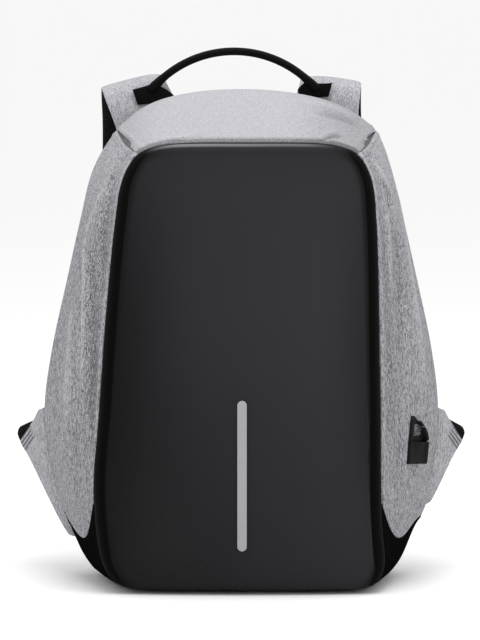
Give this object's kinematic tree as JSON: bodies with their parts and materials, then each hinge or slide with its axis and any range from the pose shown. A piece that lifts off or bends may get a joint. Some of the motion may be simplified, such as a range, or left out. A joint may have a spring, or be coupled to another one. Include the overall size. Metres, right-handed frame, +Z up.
{
  "type": "anti-theft backpack",
  "caption": "Zipped anti-theft backpack with a smooth moulded front panel, grey cloth sides, carrying handle, charging port and two padded shoulder straps.",
  "frame": {"origin": "on the floor, in the middle of the flat of the base", "axes": "+Z up, -Y out of the front panel, +X to the right of someone who looks at the front"},
  "size_m": [0.3914, 0.2324, 0.4652],
  "materials": {
    "grey_cloth": "matt melange canvas",
    "coated_panel": "smooth coated cloth over a moulded board",
    "black_cloth": "matt black canvas",
    "black_mesh": "padded spacer mesh",
    "black_webbing": "woven tape",
    "reflective_tape": "retroreflective film",
    "black_rubber": "moulded, matt",
    "black_plastic": "moulded, satin",
    "dark_metal": "dark zinc, satin"
  },
  "bodies": {
    "root": {"front_panel": "coated_panel", "reflective_stripe": "reflective_tape", "base": "black_cloth", "hood": "grey_cloth", "side_right": "grey_cloth", "side_left": "grey_cloth", "zip_tape": "black_webbing", "zip_slider": "dark_metal", "back_panel": "black_mesh", "handle_roll": "black_webbing", "handle_tab_right": "black_webbing", "handle_tab_left": "black_webbing", "strap_pad_right": "black_mesh", "strap_pad_left": "black_mesh", "strap_face_right": "grey_cloth", "strap_face_left": "grey_cloth", "strap_loop_right": "black_webbing", "strap_loop_left": "black_webbing", "adjuster_right": "black_plastic", "adjuster_left": "black_plastic", "webbing_right": "black_webbing", "webbing_left": "black_webbing", "wing_right": "grey_cloth", "wing_left": "grey_cloth", "charging_port": "black_rubber"}
  },
  "joints": []
}
